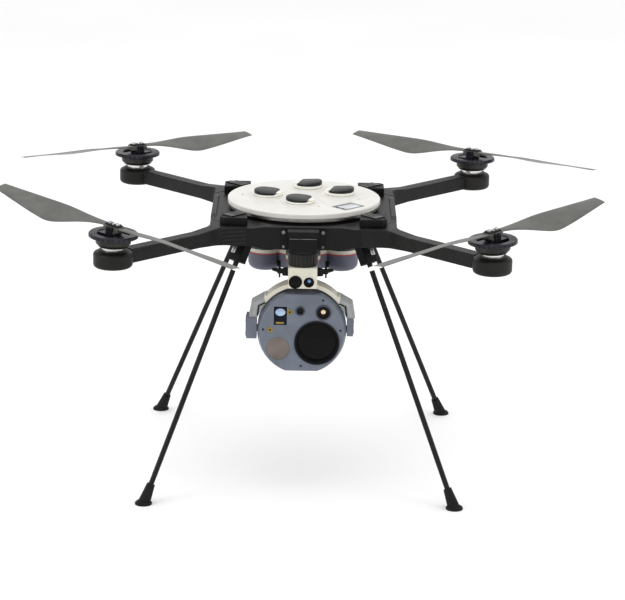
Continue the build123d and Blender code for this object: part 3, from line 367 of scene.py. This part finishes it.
dress(carbon_body, "frame")
for c in CORNERS:
    dress(carbon_arm[c], "arm_" + c)
    dress(blade_material(c), "propeller_" + c)
dress(carbon_pod, *at_corners("motor_pod"))
dress(carbon_tube, *at_corners("leg"))
dress(black_nylon, "corner_caps", "leg_brackets", "payload_mount")
dress(lever_gloss, *at_corners("latch_lever"))
dress(bright_turned, *at_corners("stator"))
dress(bell_anodised, *at_corners("rotor_bell"))
dress(ring_anodised, *at_corners("prop_ring"))
dress(boot_rubber, *at_corners("foot"))
dress(white_lid, "top_deck")
dress(band_metal, "deck_band")
dress(screen_frame, "display_window")
dress(skirt_cream_and_painted_shade, "battery_bay")
dress(yoke_paint, "gimbal_yoke")
dress(red_silicone, "gasket")
dress(cup_plastic, "battery_cup")
dress(cell_wrap, "batteries")
dress(board_resist, "circuit_board")
dress(pan_shell, "pan_motor")
dress(blue_grey_paint, "camera_ball", "tilt_drives")
dress(bezel_anodised, "lens_bezels")
dress(barrel_black, "camera_core", "pilot_lenses")
dress(lens_dark, "camera_glass")
dress(knob_cream, *["knob_" + k for k in ("left", "right", "front", "back")])
print(len(nodes), "CAD nodes dressed")

# %% [markdown]
# ## Helpers for new pieces
# Each new piece is built at the origin in millimetres, then moved to its place by one matrix that is
# applied to its mesh, so that its object stays at the origin as a CAD node's does.

# %% Piece helpers
def finish_piece(name, bm, material, body, place=Matrix.Identity(4), smooth_deg=35.0):
    """Turns a bmesh in millimetres into a piece that rides on a CAD body."""
    bmesh.ops.remove_doubles(bm, verts=bm.verts, dist=0.0005)
    bm.transform(place @ Matrix.Scale(MM, 4))
    bmesh.ops.recalc_face_normals(bm, faces=bm.faces)
    mesh = bpy.data.meshes.new(name)
    bm.to_mesh(mesh)
    bm.free()
    mesh.materials.append(material)
    mesh.shade_smooth()
    mesh.set_sharp_from_angle(angle=math.radians(smooth_deg))
    piece = bpy.data.objects.new(name, mesh)
    bpy.context.scene.collection.objects.link(piece)
    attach(piece, body)
    return piece


def lathe(profile, bm=None, steps=48, offset=(0, 0, 0)):
    """Spins an outline of (radius, height) about Z. Points on the axis close the ends."""
    bm = bm or bmesh.new()
    verts = [bm.verts.new((r + offset[0], offset[1], z + offset[2])) for r, z in profile]
    edges = [bm.edges.new(pair) for pair in zip(verts, verts[1:])]
    bmesh.ops.spin(
        bm,
        geom=verts + edges,
        cent=offset,
        axis=(0, 0, 1),
        angle=2 * math.pi,
        steps=steps,
        use_merge=True,
    )
    bmesh.ops.remove_doubles(bm, verts=bm.verts, dist=0.0005)
    return bm


def rounded_box(size, centre=(0, 0, 0), bevel=1.0, segments=3, bm=None):
    """A box in millimetres with rounded edges."""
    bm = bm or bmesh.new()
    made = bmesh.ops.create_cube(bm, size=1.0)["verts"]
    bmesh.ops.scale(bm, verts=made, vec=size)
    bmesh.ops.translate(bm, verts=made, vec=centre)
    if bevel:
        edges = list({e for v in made for e in v.link_edges})
        bmesh.ops.bevel(
            bm, geom=edges, offset=bevel, segments=segments, profile=0.5, affect="EDGES", material=-1
        )
    return bm


def outline_plate(points, thickness, bevel=0.6):
    """A flat outline in X and Y, extruded up by its thickness, with its edges rounded."""
    bm = bmesh.new()
    face = bm.faces.new([bm.verts.new((x, y, 0)) for x, y in points])
    top = bmesh.ops.extrude_face_region(bm, geom=[face])["geom"]
    moved = [g for g in top if isinstance(g, bmesh.types.BMVert)]
    bmesh.ops.translate(bm, verts=moved, vec=(0, 0, thickness))
    bmesh.ops.recalc_face_normals(bm, faces=bm.faces)
    bmesh.ops.bevel(
        bm, geom=bm.edges[:], offset=bevel, segments=2, profile=0.5, affect="EDGES", material=-1
    )
    return bm


def screw(radius, height, socket, place=(0, 0, 0), bm=None):
    """A cap screw's head with a round socket: a lathed head and the floor of its pit."""
    edge = height * 0.2
    bm = lathe(
        [
            (socket, height * 0.4),
            (socket, height),
            (radius - edge, height),
            (radius, height - edge),
            (radius, 0),
        ],
        bm,
        24,
        place,
    )
    return lathe([(0, height * 0.4), (socket, height * 0.4)], bm, 24, place)


FACE_FORWARD = Matrix.Rotation(math.pi / 2, 4, "X")  # turns a piece's +Z to face -Y


def at(x, y, z, turn=Matrix.Identity(4)):
    """A place in millimetres in the frame, with a turn."""
    return Matrix.Translation(Vector((x, y, z)) * MM) @ turn


def corner_place(corner, r, y, z, turn=Matrix.Identity(4)):
    """A place in a corner's own frame: r along the arm, y across it."""
    return Matrix.Rotation(azimuth_of(corner), 4, "Z") @ at(r, y, z, turn)


# %% [markdown]
# ## Twist-lock knobs
# A knob is a cream foot with a dark grip moulded over it: a D-shaped wing that is cut straight on one
# side, where the cream shows as a tab, and that rises to a hump at the other end for the thumb.
# The grip is an outline extruded up. Its upper edges are bevelled wide, then the hump is lifted.

# %% Knobs
KNOB_RADIUS = 24.0
GRIP_CUT = 15.0  # where the grip is cut straight, from the knob's middle
HUMP_REACH = 20.0


def arc_points(radius, start, end, count):
    """Points along an arc, in degrees."""
    step = (end - start) / (count - 1)
    angles = [math.radians(start + i * step) for i in range(count)]
    return [(radius * math.cos(angle), radius * math.sin(angle)) for angle in angles]


def knob_grip(rise, hump):
    """The dark wing with its hump towards -X."""
    half_angle = math.degrees(math.acos(GRIP_CUT / KNOB_RADIUS))
    bm = outline_plate(arc_points(KNOB_RADIUS - 0.8, half_angle, 360 - half_angle, 28), rise, 1.4)
    bmesh.ops.subdivide_edges(
        bm, edges=[e for e in bm.edges if e.calc_length() > 8], cuts=5, use_grid_fill=True
    )
    top = bm.verts
    for vert in top:
        near = max(0.0, 1 - (Vector((vert.co.x + 14.0, vert.co.y * 0.75, 0)).length / HUMP_REACH) ** 2)
        if vert.co.z > rise / 2:
            vert.co.z += hump * near
            vert.co.z -= rise * 0.25 * max(0.0, vert.co.x / KNOB_RADIUS)
    return bm


# Turn in degrees, then the foot's height, the grip's rise and the height of its hump.
NEAR_KNOB, FAR_KNOB = (-14.0, 2.9, 4.3, 1.9), (166.0, 4.4, 3.9, 3.4)
KNOBS = {"left": NEAR_KNOB, "front": NEAR_KNOB, "right": FAR_KNOB, "back": FAR_KNOB}
deck_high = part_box("top_deck")[1]
for name, (turn_deg, foot_height, grip_rise, hump_height) in KNOBS.items():
    low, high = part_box("knob_" + name)
    x, y = (low.x + high.x) / 2 / MM, (low.y + high.y) / 2 / MM
    spot = at(x, y, deck_high.z / MM + 0.3, Matrix.Rotation(math.radians(turn_deg), 4, "Z"))
    foot = lathe([
        (0, 0),
        (23.4, 0),
        (24, 0.6),
        (24, foot_height - 0.8),
        (23.2, foot_height),
        (0, foot_height),
    ])
    rounded_box((9.0, 17.0, 4.0), (18.4, 0, foot_height + 0.6), 1.4, bm=foot)
    base = finish_piece(f"knob_{name}_foot", foot, knob_cream, "knob_" + name, spot)
    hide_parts("knob_" + name)
    lift = spot @ Matrix.Translation((0, 0, foot_height * MM))
    grip = knob_grip(grip_rise, hump_height)
    finish_piece(f"knob_{name}_grip", grip, grip_rubber, "knob_" + name, lift)
print("knobs made:", len(KNOBS))

# %% [markdown]
# ## The lid's small things
# The lid carries three small screws, three low ridges, and a blank screen in the display's frame with
# two small dark buttons beside it.

# %% Lid details
LID_SCREWS = ((-100.0, 6.0), (24.0, -68.0), (88.0, -12.0))
LID_TOP = (deck_high.z / MM) - 0.6
for i, (x, y) in enumerate(LID_SCREWS):
    finish_piece(f"lid_screw_{i}", screw(2.2, 0.9, 1.1), steel, "root",
                 at(x, y, LID_TOP - 0.2))

pane_low, pane_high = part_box("display_window")
pane_middle = (pane_low + pane_high) / 2 / MM
DISPLAY_TURN = Matrix.Rotation(math.radians(45), 4, "Z")
screen_place = at(pane_middle.x, pane_middle.y, pane_high.z / MM, DISPLAY_TURN)
finish_piece("display_screen", rounded_box((33, 22, 0.4), (2, 0, 0.2), 0.15), screen_grey, "root",
             screen_place)
button_bm = rounded_box((3.4, 3.4, 0.9), (-18.5, 6, 0.45), 0.4)
rounded_box((3.4, 3.4, 0.9), (-18.5, -6, 0.45), 0.4, bm=button_bm)
finish_piece("display_lights", button_bm, grip_rubber, "root", screen_place)


def ridge(name, start, end, width=1.2, rise=0.5):
    """A low straight ridge moulded on the lid between two points."""
    a, b = Vector(start), Vector(end)
    middle, run = (a + b) / 2, b - a
    turn = Matrix.Rotation(math.atan2(run.y, run.x), 4, "Z")
    bm = rounded_box((run.length, width, rise * 2), (0, 0, 0), rise * 0.8, 2)
    finish_piece(name, bm, white_lid, "root", at(middle.x, middle.y, LID_TOP, turn))


ridge("lid_ridge_display", (41, -70), (104, 8))
ridge("lid_ridge_front", (30, -32), (41, -70))
ridge("lid_ridge_left", (-97, 10), (-66, -72))
print("lid details made")

# %% [markdown]
# ## Payload bracket
# The bracket is screwed to the front panel by four cap screws, and a dull metal bar edges its lip.
# The screws are lathed heads with a socket.

# %% Bracket screws and lip
mount_low, mount_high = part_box("payload_mount")
MOUNT_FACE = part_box("frame")[0].y / MM - 2.5
MOUNT_SCREWS = ((-31, -5.5, 3.0), (31, -5.5, 3.0), (-31, -28.5, 2.3), (31, -28.5, 2.3))
for i, (x, dz, radius) in enumerate(MOUNT_SCREWS):
    spot = at(x, MOUNT_FACE, mount_high.z / MM + dz, FACE_FORWARD)
    finish_piece(f"mount_screw_{i}", screw(radius, 1.8, radius * 0.5), zinc, "root", spot)
lip_bar = rounded_box((43, 1.8, 1.2), (0, 0, 0), 0.5)
finish_piece("mount_lip_edge", lip_bar, zinc, "root",
             at(0, mount_low.y / MM + 1.0, mount_high.z / MM - 11.2))
collar_bm = lathe([(22.0, 0), (25.4, 0), (25.4, 2.2), (22.0, 2.2)])
pan_low, pan_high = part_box("pan_motor")
finish_piece("pan_motor_collar", collar_bm, black_nylon, "root",
             at(0, (pan_low.y + 0.024) / MM, (pan_high.z / MM) - 9.2))
print("bracket dressed")

# %% [markdown]
# ## Hubs
# The blades are clamped under a dark plate by two bright cap screws. The plate lies on the blades, which
# rock about the teeter pin, so its place is worked out in the rotor's own frame: Z is the spin axis,
# Y lies along the pin, and the rest lean is half way between the pin joint's two limits.

# %% Hub plates and screws
PLATE_HEIGHT = 38.0 - 34.0  # over the teeter pin


def blade_frame(corner):
    """The blades' own frame at rest: the pin at the origin, X along the blades and Z up from the hub."""
    pin = joints["prop_teeter_" + corner]
    up = Vector(joints["rotor_spin_" + corner]["axis"])
    across = -Vector(pin["axis"])
    rise = -math.radians(sum(pin["range_deg"]) / 2)
    along = across.cross(up)
    turn = Matrix((along, across, up)).transposed().to_4x4()
    return Matrix.Translation(pin["pos_m"]) @ turn @ Matrix.Rotation(-rise, 4, "Y")


for c in CORNERS:
    place = blade_frame(c)
    body = "prop_" + c
    lift = place @ Matrix.Translation((0, 0, PLATE_HEIGHT * MM))
    plate = rounded_box((26, 13, 1.8), (0, 0, 0.9), 0.7)
    finish_piece("hub_plate_" + c, plate, black_nylon, body, lift)
    heads = screw(3.3, 2.6, 1.6, (-7.5, 0, 1.8))
    screw(3.3, 2.6, 1.6, (7.5, 0, 1.8), heads)
    rounded_box((3.6, 7.0, 1.4), (0, 0, 2.3), 0.4, bm=heads)
    finish_piece("hub_screws_" + c, heads, steel, body, lift)
    pin_ends = bmesh.new()
    for side in (-1, 1):
        made = bmesh.ops.create_cone(
            pin_ends, cap_ends=True, segments=24, radius1=3.2, radius2=3.2, depth=1.2
        )["verts"]
        bmesh.ops.rotate(pin_ends, verts=made, cent=(0, 0, 0), matrix=Matrix.Rotation(math.pi / 2, 3, "X"))
        bmesh.ops.translate(pin_ends, verts=made, vec=(0, side * 12.6, 0))
    finish_piece("teeter_pin_ends_" + c, pin_ends, screw_black, "rotor_" + c, place)
print("hubs made:", len(CORNERS))

# %% [markdown]
# ## Corner hardware
# Each corner cap has two screws beside its lever, and each leg socket has a bright strip with three
# dark screws along its outer face, which leans with the leg.

# %% Corner hardware
CAP_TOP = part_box("corner_caps")[1].z / MM
LEG_LEAN = math.asin(Vector(joints["leg_pull_fl"]["axis"][:2]).length)
SOCKET_FACE = (154.2, 0.0, 383.3)  # on the outer face of the socket, in the corner's own frame

for c in CORNERS:
    for i, (r, y) in enumerate(((150.0, 15.5), (150.0, -15.5))):
        finish_piece(f"cap_screw_{c}_{i}", screw(2.0, 0.8, 1.0), screw_black, "root",
                     corner_place(c, r, y, CAP_TOP - 0.1))
    outward = Matrix.Rotation(-LEG_LEAN, 4, "Y") @ Matrix.Rotation(math.pi / 2, 4, "Y")
    strip_place = corner_place(c, *SOCKET_FACE, outward)
    finish_piece("socket_strip_" + c, rounded_box((14.0, 8.0, 0.9), (0, 0, 0.3), 0.4), steel, "root",
                 strip_place)
    pits = screw(1.5, 0.5, 0.8, (-4.6, 0, 0.5))
    for x in (0, 4.6):
        screw(1.5, 0.5, 0.8, (x, 0, 0.5), pits)
    finish_piece("socket_screws_" + c, pits, screw_black, "root", strip_place)
print("corner hardware made")

# %% [markdown]
# ## Gimbal neck
# Dark arms stand out from both sides of the neck and end in rubber isolators with a pin through them.
# They turn with the neck. An arm is a bevelled outline, and the isolator and its pin are lathed.

# %% Isolators
yoke_low, yoke_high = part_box("gimbal_yoke")
GIMBAL_Y = (yoke_low.y + yoke_high.y) / 2 / MM
AXIS_Z = joints["camera_tilt"]["pos_m"][2] / MM
ISOLATOR_ARM = ((0, 7), (9, 4), (25, 4.5), (26.5, 2), (18, -1), (10, -3), (9, -6.5), (0, -7))
for side, word in ((-1, "left"), (1, "right")):
    turn = Matrix.Scale(side, 4, (1, 0, 0)) @ FACE_FORWARD
    arm_bm = outline_plate(ISOLATOR_ARM, 8.0, 0.7)
    finish_piece("isolator_arm_" + word, arm_bm, black_nylon, "gimbal_pan",
                 at(side * 22.6, GIMBAL_Y - 8, AXIS_Z + 96.5, turn))
    stud = lathe([
        (0, 0),
        (1.4, 0),
        (1.4, 6),
        (3.6, 6.6),
        (3.6, 10),
        (2.0, 11),
        (2.0, 17),
        (1.1, 18),
        (0, 18),
    ])
    finish_piece("isolator_stud_" + word, stud, boot_rubber, "gimbal_pan",
                 at(side * 36.5, GIMBAL_Y - 12, AXIS_Z + 86.5))

# %% [markdown]
# ## Pilot cameras and yoke cheeks
# Two small cameras look out of the neck. Each is a stack: a bevelled rim, a black cone, and a glass
# front that bulges. The cheeks of the yoke are thin grey bars, with a dark slot inside each.

# %% Lens stacks
def dome(radius, rise, steps=48, rings=8):
    """A shallow spherical cap: an arc spun about Z."""
    sphere = (radius**2 + rise**2) / (2 * rise)
    top = math.asin(radius / sphere)
    outline = [
        (sphere * math.sin(top * i / rings), sphere * math.cos(top * i / rings) - sphere + rise)
        for i in range(rings + 1)
    ]
    return lathe(outline + [(0, 0)], steps=steps)


def lens_stack(name, radius, place, glass, body, rim=1.2, step=1.0, rise=1.5):
    """A black stepped barrel with a bulging glass in it."""
    barrel = lathe([
        (radius * 0.72, -1.0),
        (radius * 0.74, 0.2),
        (radius * 0.86, 0.2),
        (radius * 0.88, step),
        (radius - rim * 0.3, step),
        (radius, step - 0.4),
        (radius, -1.0),
    ])
    finish_piece(name + "_barrel", barrel, barrel_black, body, place)
    finish_piece(name + "_glass", dome(radius * 0.72, rise), glass, body, place)


neck_front = yoke_low.y / MM
for word, x, radius in (("wide", -11.0, 10.3), ("narrow", 10.5, 7.6)):
    spot = at(x, neck_front, AXIS_Z + 82.9, FACE_FORWARD)
    lens_stack("pilot_" + word, radius, spot, lens_dark, "gimbal_pan")
spark = dome(2.6, 0.6)
finish_piece("pilot_narrow_reflector", spark, mirror_silver, "gimbal_pan",
             at(10.5, neck_front - 1.6, AXIS_Z + 84.9, FACE_FORWARD))

# Outlines on the right side, across and up from the tilt axis.
CHEEK_BAR = ((60, 53), (75, 46.5), (80.5, 24), (72, 24), (70, 42), (59, 47.5))
CHEEK_SLOT = ((58.5, 46.9), (69.4, 41.4), (71.4, 25), (69.2, 25), (67.2, 40), (57.5, 44.8))
for side, word in ((-1, "left"), (1, "right")):
    turn = Matrix.Scale(side, 4, (1, 0, 0)) @ FACE_FORWARD
    for depth, end in ((-17.2, "front"), (14.8, "back")):
        finish_piece(f"cheek_{word}_{end}", outline_plate(CHEEK_BAR, 2.4, 0.8), grey_cheek, "gimbal_pan",
                     at(0, GIMBAL_Y + depth + 2.4, AXIS_Z, turn))
    finish_piece("cheek_slot_" + word, outline_plate(CHEEK_SLOT, 0.8, 0.2), barrel_black, "gimbal_pan",
                 at(0, GIMBAL_Y - 15.6, AXIS_Z, turn))
print("neck and cheeks made")

# %% [markdown]
# ## Camera face
# The face has a large dark lens, a small bright one, a green one, a rectangular window with a prism
# behind it, and a round brown window that passes heat. Glass is in the way of the CAD panes, so new pieces
# replace that node. All of them ride on the camera, which tilts.

# %% Camera face
FACE_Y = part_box("camera_ball")[0].y / MM


def on_face(x, z, ahead=0.0):
    """A place on the camera's face, measured from its middle."""
    return at(x, FACE_Y - ahead, AXIS_Z + z, FACE_FORWARD)


MAIN, ZOOM, SMALL, HEAT, PRISM = (24.0, -15.6), (33.5, 34.0), (-3.0, 36.1), (-37.3, -25.8), (-34.1, 27.6)
cone = lathe([(34.0, 0), (34.0, 1.5), (35.4, 1.9), (32.4, 1.9), (31.4, 0.4), (30.6, -1.6), (29.8, -2.2)])
finish_piece("main_lens_cone", cone, barrel_black, "camera", on_face(*MAIN))
main_glass = finish_piece("main_lens_glass", dome(30.8, 5.0, 64, 12), lens_dark, "camera",
                          on_face(*MAIN, -2.6))
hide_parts("camera_glass")
lens_stack("zoom_lens", 10.1, on_face(*ZOOM), lens_amber, "camera", rise=2.2)
finish_piece("zoom_lens_reflector", dome(3.6, 1.0), mirror_gold, "camera",
             on_face(ZOOM[0], ZOOM[1] + 1.5, 1.9))
lens_stack("small_lens", 5.3, on_face(*SMALL), lens_green, "camera", rim=0.8, rise=1.2)
disc = lathe([(0, -3.4), (18.6, -3.4), (18.6, -0.6), (18.0, 0), (0, 0)])
finish_piece("heat_window", disc, heat_window, "camera", on_face(*HEAT, 0.1))

window = rounded_box((20.6, 30, 3.0), (0, 0, -2.2), 0.5)
finish_piece("prism_window_pane", window, lens_blue, "camera", on_face(*PRISM, -0.4))
prism = bmesh.new()
bmesh.ops.create_cone(prism, cap_ends=True, segments=40, radius1=7.6, radius2=7.6, depth=1.0)
bmesh.ops.bevel(
    prism, geom=prism.edges[:], offset=0.3, segments=2, profile=0.5, affect="EDGES", material=-1
)
bmesh.ops.scale(prism, verts=prism.verts[:], vec=(1.05, 0.8, 1.0))
finish_piece("prism_mirror", prism, mirror_silver, "camera",
             on_face(PRISM[0], PRISM[1] + 6, -0.3))
lower = rounded_box((13, 3.6, 0.8), (0, 0, 0), 0.3)
finish_piece("prism_lower_mirror", lower, brass, "camera",
             on_face(PRISM[0] - 0.6, PRISM[1] - 11.5, -0.2))

for i, (x, z) in enumerate(((-19.5, 34.3), (-50.0, 4.9))):
    finish_piece(f"brass_plug_{i}", screw(4.4, 1.0, 1.6), brass, "camera", on_face(x, z))
    pit = lathe([(0, 0), (1.6, 0), (1.6, 0.6), (0, 0.6)], steps=24)
    finish_piece(f"brass_plug_pit_{i}", pit, barrel_black, "camera", on_face(x, z))
for i, (x, z) in enumerate(((61, 5), (-61, 5), (-0.8, -54), (33, 54))):
    finish_piece(f"face_screw_{i}", screw(1.7, 0.5, 0.8), screw_black, "camera",
                 on_face(x, z))
print("camera face made")

# %% [markdown]
# ## Tilt drives and batteries
# The tilt drives have a lid with small screws, and the battery cup has latch hooks beside the neck.

# %% Drive lids and battery latches
drive_low, drive_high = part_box("tilt_drives")
for side, x, z, tall in ((-1, drive_low.x / MM, AXIS_Z + 4, 30), (1, drive_high.x / MM, AXIS_Z + 7, 24)):
    word = "left" if side < 0 else "right"
    lid = rounded_box((1.6, 28, tall), (side * 0.3, 0, 0), 0.7)
    finish_piece("drive_lid_" + word, lid, blue_grey_paint, "gimbal_pan", at(x, GIMBAL_Y, z))
    face = Matrix.Rotation(side * math.pi / 2, 4, "Y")
    for i, (dy, dz) in enumerate(((-10, -0.34), (-10, 0.34), (10, -0.34), (10, 0.34))):
        finish_piece(f"drive_screw_{word}_{i}", screw(1.6, 0.5, 0.8), screw_black, "gimbal_pan",
                     at(x + side * 1.0, GIMBAL_Y + dy, z + dz * tall, face))

cup_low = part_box("battery_cup")[0]
for side, word in ((-1, "left"), (1, "right")):
    hook = rounded_box((5, 5, 8), (0, 0, 4), 0.9)
    rounded_box((9, 5, 3), (side * 2.0, 0, 7), 0.9, bm=hook)
    finish_piece("battery_hook_" + word, hook, black_nylon, "battery_pack",
                 at(side * 39.5, 6.0, cup_low.z / MM + 8))
print("drives and battery latches made")

# %% [markdown]
# ## Light and floor
# Soft studio light: a wide soft box overhead, one at each side, and an even white room. The floor is a
# plain pale sheet that the feet stand on.

# %% Stage
floor_bm = bmesh.new()
bmesh.ops.create_grid(floor_bm, x_segments=1, y_segments=1, size=30.0)
floor_mesh = bpy.data.meshes.new("floor")
floor_bm.to_mesh(floor_mesh)
floor_bm.free()
floor_mesh.materials.append(painted("floor_paper", "#f7f7f7", "#fbfbfb", 0.8, mottle_mm=900.0, bump_mm=0.0))
floor = bpy.data.objects.new("floor", floor_mesh)
bpy.context.scene.collection.objects.link(floor)

world = bpy.data.worlds.new("studio")
bpy.context.scene.world = world
world.use_nodes = True
world.node_tree.nodes["Background"].inputs["Color"].default_value = (1, 1, 1, 1)
world.node_tree.nodes["Background"].inputs["Strength"].default_value = 1.0


def soft_box(name, place, size, power):
    """An area light that looks at the middle of the drone."""
    data = bpy.data.lights.new(name, "AREA")
    data.size = size
    data.energy = power
    light = bpy.data.objects.new(name, data)
    light.location = place
    light.rotation_euler = (Vector((0, 0, 0.4)) - Vector(place)).to_track_quat("-Z", "Y").to_euler()
    bpy.context.scene.collection.objects.link(light)


soft_box("light_top", (0.0, 0.4, 3.2), 2.5, 22)
soft_box("light_left", (-3.0, -1.8, 1.6), 1.6, 24)
soft_box("light_right", (3.0, -1.6, 1.4), 1.6, 14)
